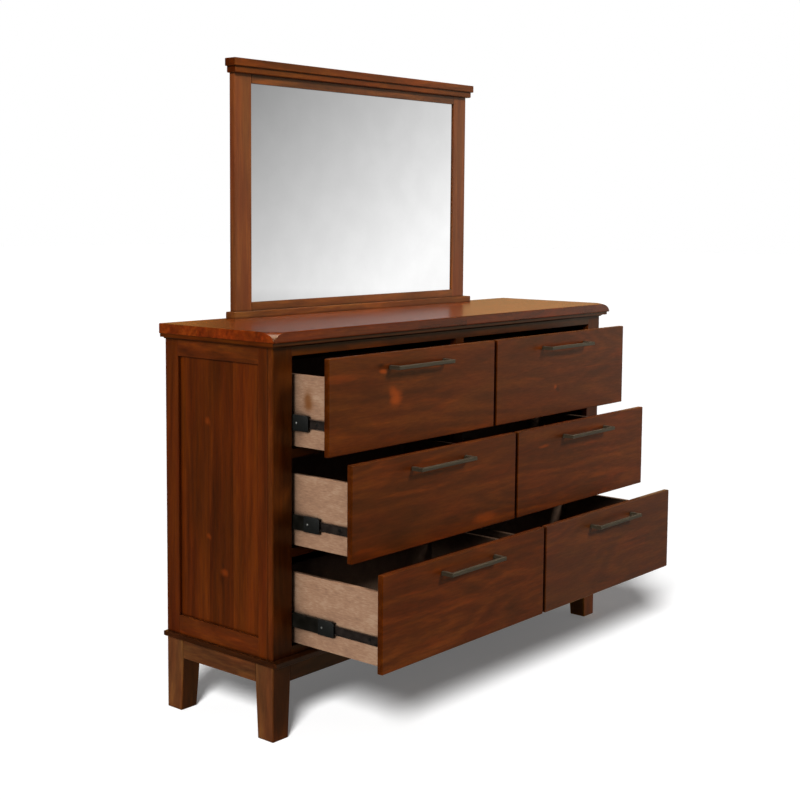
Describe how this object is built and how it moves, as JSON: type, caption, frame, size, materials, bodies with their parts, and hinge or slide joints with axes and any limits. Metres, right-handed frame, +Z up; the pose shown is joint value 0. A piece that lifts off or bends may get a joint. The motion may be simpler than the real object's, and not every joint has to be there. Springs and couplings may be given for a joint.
{
  "type": "dresser",
  "caption": "Wide wooden dresser with two columns of drawers on ball-bearing slides, bar pulls, tapered legs and a framed mirror standing on its top.",
  "frame": {"origin": "on the floor, under the middle of the whole piece's footprint with its drawers as open as they are at rest", "axes": "+Z up, -Y out of the front where the drawers open, +X to the right seen from the front"},
  "size_m": [1.524, 0.7426, 1.711],
  "materials": {
    "top_wood": "satin lacquered red-brown hardwood, grain along the width",
    "front_wood": "satin lacquered red-brown hardwood, grain across the drawer",
    "rail_wood": "satin lacquered red-brown hardwood, grain across",
    "stile_wood": "satin lacquered red-brown hardwood, upright grain",
    "side_rail_wood": "satin lacquered red-brown hardwood, grain front to back",
    "panel_wood": "satin lacquered red-brown hardwood panel, upright grain",
    "moulding_wood": "satin lacquered red-brown hardwood, grain along each run",
    "apron_wood": "satin lacquered red-brown hardwood, grain along each run",
    "leg_wood": "satin lacquered red-brown hardwood, upright grain",
    "mirror_stile_wood": "satin lacquered red-brown hardwood, upright grain",
    "mirror_rail_wood": "satin lacquered red-brown hardwood, grain across",
    "box_plywood": "clear-sealed pinkish-tan plywood",
    "bottom_plywood": "clear-sealed thin plywood",
    "inner_wood": "bare planed wood",
    "inner_board": "bare board",
    "back_board": "smooth brown board",
    "slide_steel": "black-coated rolled steel",
    "pull_metal": "dark pewter, satin",
    "mirror_glass": "silvered flat glass"
  },
  "bodies": {
    "case": {"top_slab": "top_wood", "top_moulding": "moulding_wood", "side_stiles": "stile_wood", "side_rails": "side_rail_wood", "side_panels": "panel_wood", "face_stiles": "stile_wood", "face_rails": "rail_wood", "case_floor": "inner_board", "centre_partition": "inner_board", "back_panel": "back_board", "top_battens": "inner_wood", "slide_cleats": "inner_wood", "base_moulding": "moulding_wood", "aprons": "apron_wood", "legs": "leg_wood", "cabinet_slides": "slide_steel", "mirror_stiles": "mirror_stile_wood", "mirror_rails": "mirror_rail_wood", "mirror_glass": "mirror_glass", "mirror_backing": "back_board", "mirror_sill": "mirror_rail_wood", "mirror_bed_moulding": "mirror_rail_wood", "mirror_cap": "mirror_rail_wood", "mirror_supports": "inner_wood"},
    "top_left_drawer": {"top_left_drawer_front": "front_wood", "top_left_drawer_box": "box_plywood", "top_left_drawer_bottom": "bottom_plywood", "top_left_drawer_pull": "pull_metal", "top_left_drawer_slides": "slide_steel"},
    "top_left_middle_slides": {"top_left_middle_slides": "slide_steel"},
    "top_right_drawer": {"top_right_drawer_front": "front_wood", "top_right_drawer_box": "box_plywood", "top_right_drawer_bottom": "bottom_plywood", "top_right_drawer_pull": "pull_metal", "top_right_drawer_slides": "slide_steel"},
    "top_right_middle_slides": {"top_right_middle_slides": "slide_steel"},
    "middle_left_drawer": {"middle_left_drawer_front": "front_wood", "middle_left_drawer_box": "box_plywood", "middle_left_drawer_bottom": "bottom_plywood", "middle_left_drawer_pull": "pull_metal", "middle_left_drawer_slides": "slide_steel"},
    "middle_left_middle_slides": {"middle_left_middle_slides": "slide_steel"},
    "middle_right_drawer": {"middle_right_drawer_front": "front_wood", "middle_right_drawer_box": "box_plywood", "middle_right_drawer_bottom": "bottom_plywood", "middle_right_drawer_pull": "pull_metal", "middle_right_drawer_slides": "slide_steel"},
    "middle_right_middle_slides": {"middle_right_middle_slides": "slide_steel"},
    "bottom_left_drawer": {"bottom_left_drawer_front": "front_wood", "bottom_left_drawer_box": "box_plywood", "bottom_left_drawer_bottom": "bottom_plywood", "bottom_left_drawer_pull": "pull_metal", "bottom_left_drawer_slides": "slide_steel"},
    "bottom_left_middle_slides": {"bottom_left_middle_slides": "slide_steel"},
    "bottom_right_drawer": {"bottom_right_drawer_front": "front_wood", "bottom_right_drawer_box": "box_plywood", "bottom_right_drawer_bottom": "bottom_plywood", "bottom_right_drawer_pull": "pull_metal", "bottom_right_drawer_slides": "slide_steel"},
    "bottom_right_middle_slides": {"bottom_right_middle_slides": "slide_steel"}
  },
  "joints": [
    {"name": "top_left_drawer_slide", "type": "slide", "parent": "case", "child": "top_left_drawer", "axis": [0, -1, 0], "range_m": [-0.108, 0.237]},
    {"name": "top_left_middle_slide", "type": "slide", "parent": "case", "child": "top_left_middle_slides", "axis": [0, -1, 0], "range_m": [-0.054, 0.1185]},
    {"name": "top_right_drawer_slide", "type": "slide", "parent": "case", "child": "top_right_drawer", "axis": [0, -1, 0], "range_m": [-0.108, 0.237]},
    {"name": "top_right_middle_slide", "type": "slide", "parent": "case", "child": "top_right_middle_slides", "axis": [0, -1, 0], "range_m": [-0.054, 0.1185]},
    {"name": "middle_left_drawer_slide", "type": "slide", "parent": "case", "child": "middle_left_drawer", "axis": [0, -1, 0], "range_m": [-0.183, 0.162]},
    {"name": "middle_left_middle_slide", "type": "slide", "parent": "case", "child": "middle_left_middle_slides", "axis": [0, -1, 0], "range_m": [-0.0915, 0.081]},
    {"name": "middle_right_drawer_slide", "type": "slide", "parent": "case", "child": "middle_right_drawer", "axis": [0, -1, 0], "range_m": [-0.183, 0.162]},
    {"name": "middle_right_middle_slide", "type": "slide", "parent": "case", "child": "middle_right_middle_slides", "axis": [0, -1, 0], "range_m": [-0.0915, 0.081]},
    {"name": "bottom_left_drawer_slide", "type": "slide", "parent": "case", "child": "bottom_left_drawer", "axis": [0, -1, 0], "range_m": [-0.28, 0.065]},
    {"name": "bottom_left_middle_slide", "type": "slide", "parent": "case", "child": "bottom_left_middle_slides", "axis": [0, -1, 0], "range_m": [-0.14, 0.0325]},
    {"name": "bottom_right_drawer_slide", "type": "slide", "parent": "case", "child": "bottom_right_drawer", "axis": [0, -1, 0], "range_m": [-0.28, 0.065]},
    {"name": "bottom_right_middle_slide", "type": "slide", "parent": "case", "child": "bottom_right_middle_slides", "axis": [0, -1, 0], "range_m": [-0.14, 0.0325]}
  ],
  "couplings": [
    {"joint": "top_left_middle_slide", "follows": "top_left_drawer_slide", "ratio": 0.5},
    {"joint": "top_right_middle_slide", "follows": "top_right_drawer_slide", "ratio": 0.5},
    {"joint": "middle_left_middle_slide", "follows": "middle_left_drawer_slide", "ratio": 0.5},
    {"joint": "middle_right_middle_slide", "follows": "middle_right_drawer_slide", "ratio": 0.5},
    {"joint": "bottom_left_middle_slide", "follows": "bottom_left_drawer_slide", "ratio": 0.5},
    {"joint": "bottom_right_middle_slide", "follows": "bottom_right_drawer_slide", "ratio": 0.5}
  ]
}
